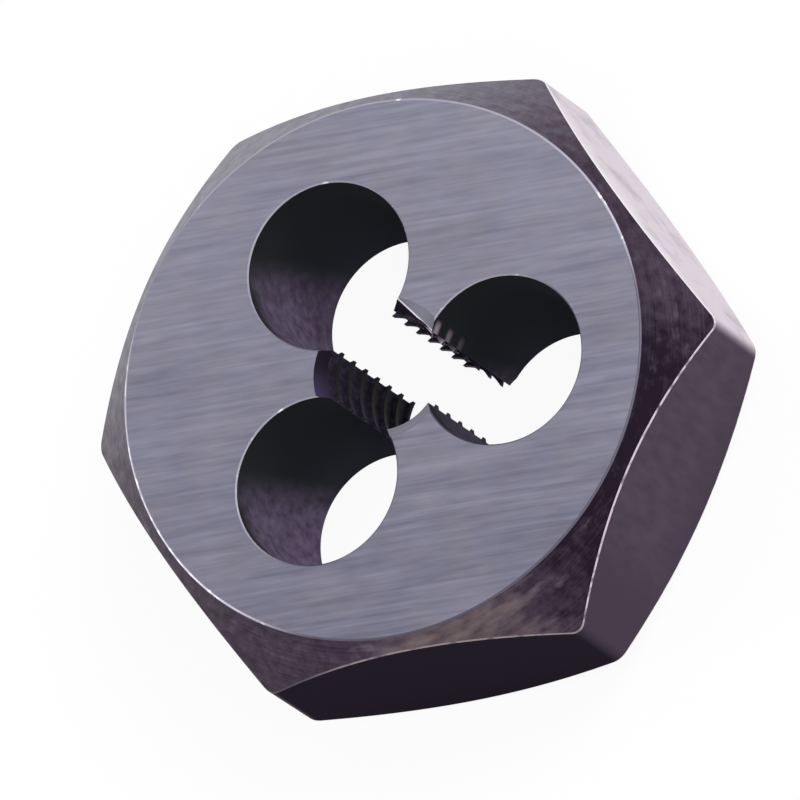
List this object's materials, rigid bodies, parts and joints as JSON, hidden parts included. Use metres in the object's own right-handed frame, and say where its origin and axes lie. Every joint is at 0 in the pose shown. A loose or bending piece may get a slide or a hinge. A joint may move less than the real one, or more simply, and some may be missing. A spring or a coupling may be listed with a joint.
{
  "type": "hex die nut",
  "caption": "Hexagonal thread cutting die nut: chamfered steel hexagon with a threaded bore opened by round chip clearance holes, turned by a spanner on its flats.",
  "frame": {"origin": "centre of the lower ground face, on the thread axis", "axes": "+Z along the thread axis, away from the face that it lies on; -Y and +Y square to one pair of flats; +X through one corner of the hexagon"},
  "size_m": [0.0292, 0.0254, 0.009],
  "materials": {
    "tool_steel": "hardened tool steel, blackened on the flats, cones and holes, with both faces ground bright in straight lines"
  },
  "bodies": {
    "root": {"die_nut": "tool_steel"}
  },
  "joints": []
}
